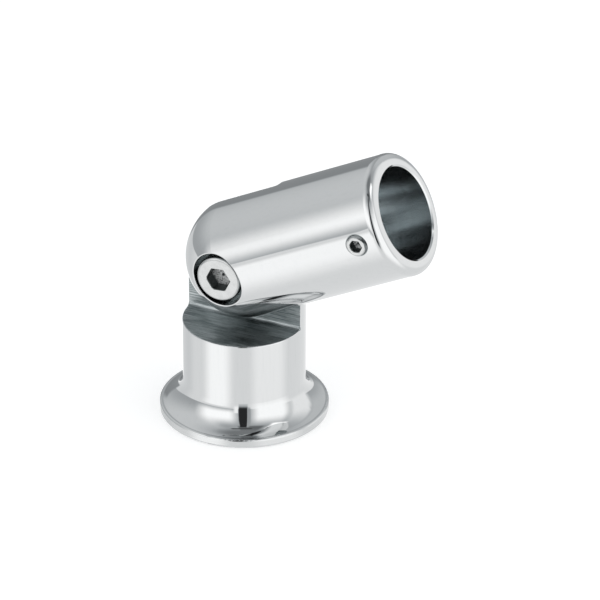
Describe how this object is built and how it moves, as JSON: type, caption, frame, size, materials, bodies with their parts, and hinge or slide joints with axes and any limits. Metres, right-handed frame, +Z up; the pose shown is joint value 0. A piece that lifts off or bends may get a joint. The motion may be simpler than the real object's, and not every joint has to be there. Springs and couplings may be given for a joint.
{
  "type": "stanchion base",
  "caption": "Folding round stanchion base: flanged deck foot and a tube socket that swing on each other at a half-lap pivot screw.",
  "frame": {"origin": "centre of the foot's underside, on the axis of the deck thread", "axes": "+Z up along the axis of the foot, +X towards the tube's mouth, pivot axis along Y with the screw head on -Y"},
  "size_m": [0.0778, 0.047, 0.0849],
  "materials": {
    "polished_steel": "mirror-polished stainless steel, with milled satin faces at the lap",
    "screw_steel": "bright machined stainless steel",
    "washer_steel": "satin spring steel"
  },
  "bodies": {
    "foot": {"base": "polished_steel"},
    "socket": {"tube_socket": "polished_steel", "lock_washer": "washer_steel"},
    "pivot_bolt": {"pivot_screw": "screw_steel"},
    "grub": {"grub_screw": "screw_steel"}
  },
  "joints": [
    {"name": "socket_tilt", "type": "hinge", "parent": "foot", "child": "socket", "pos_m": [-0.0008, 0, 0.0465], "axis": [0, -1, 0], "range_deg": [-26.5, 153.5]},
    {"name": "pivot_screw_turn", "type": "hinge", "parent": "foot", "child": "pivot_bolt", "pos_m": [-0.0008, 0, 0.0465], "axis": [0, -1, 0], "range_deg": [0, 360]},
    {"name": "grub_screw_travel", "type": "slide", "parent": "socket", "child": "grub", "axis": [0, -1, 0], "range_m": [-0.002, 0.0025]}
  ]
}
